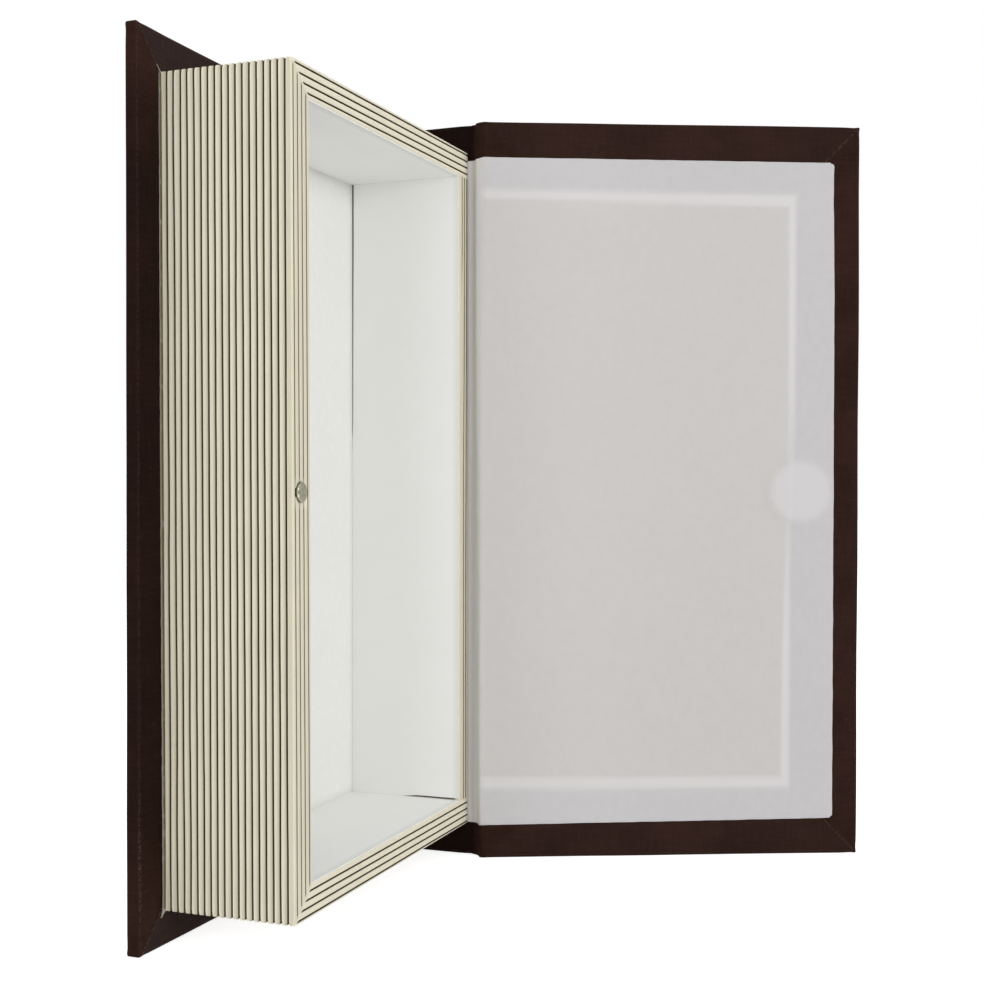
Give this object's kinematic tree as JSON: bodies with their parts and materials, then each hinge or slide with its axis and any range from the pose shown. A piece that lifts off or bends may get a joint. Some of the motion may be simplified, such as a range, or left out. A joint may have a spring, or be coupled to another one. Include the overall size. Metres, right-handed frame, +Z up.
{
  "type": "book box",
  "caption": "Keepsake box shaped like an upright cloth-bound book, its lid open on a cloth joint to show a grooved page frame around a deep recess.",
  "frame": {"origin": "on the surface the book stands on, under the middle of the bounding box with the lid open as at rest", "axes": "+Z up from tail to head, +X from the back cover towards the lid, +Y from the fore-edge to the spine"},
  "size_m": [0.1832, 0.202, 0.27],
  "materials": {
    "book_cloth": "dark maroon-brown book cloth with a fine close weave and a faint sheen",
    "grey_board": "plain dense grey board, hidden in the cloth",
    "infill_card": "plain thin card, hidden under the paper",
    "page_frame": "cream matt paint on grooved fibreboard, slightly uneven, with darker grooves",
    "lining_paper": "matt off-white paper",
    "lid_paper": "matt light grey paper, smooth, with the card and disc under it showing faintly",
    "nickel": "dull nickel plate",
    "steel": "plain steel disc"
  },
  "bodies": {
    "book": {"back_board": "grey_board", "back_infill_card": "infill_card", "back_cloth": "book_cloth", "back_hinge_cloth": "book_cloth", "spine_board": "grey_board", "spine_infill_card": "infill_card", "spine_cloth": "book_cloth", "spine_edge_lining": "lid_paper", "fore_edge_wall": "page_frame", "head_wall": "page_frame", "tail_wall": "page_frame", "spine_wall": "page_frame", "floor_lining": "lining_paper", "fore_edge_lining": "lining_paper", "head_lining": "lining_paper", "tail_lining": "lining_paper", "spine_lining": "lining_paper", "magnet": "nickel"},
    "hinge_strip": {"front_hinge_cloth": "book_cloth", "front_hinge_lining": "lid_paper"},
    "lid": {"lid_board": "grey_board", "lid_infill_card": "infill_card", "lid_cloth": "book_cloth", "lid_lining": "lid_paper", "keeper_disc": "steel"}
  },
  "joints": [
    {"name": "spine_crease", "type": "hinge", "parent": "book", "child": "hinge_strip", "pos_m": [-0.03983, 0.04351, 0], "axis": [0, 0, 1], "range_deg": [-74.1, 42.9]},
    {"name": "lid_crease", "type": "hinge", "parent": "hinge_strip", "child": "lid", "pos_m": [-0.03565, 0.04035, 0], "axis": [0, 0, 1], "range_deg": [-40.9, 24.1]}
  ],
  "couplings": [
    {"joint": "lid_crease", "follows": "spine_crease", "ratio": 0.53846}
  ]
}
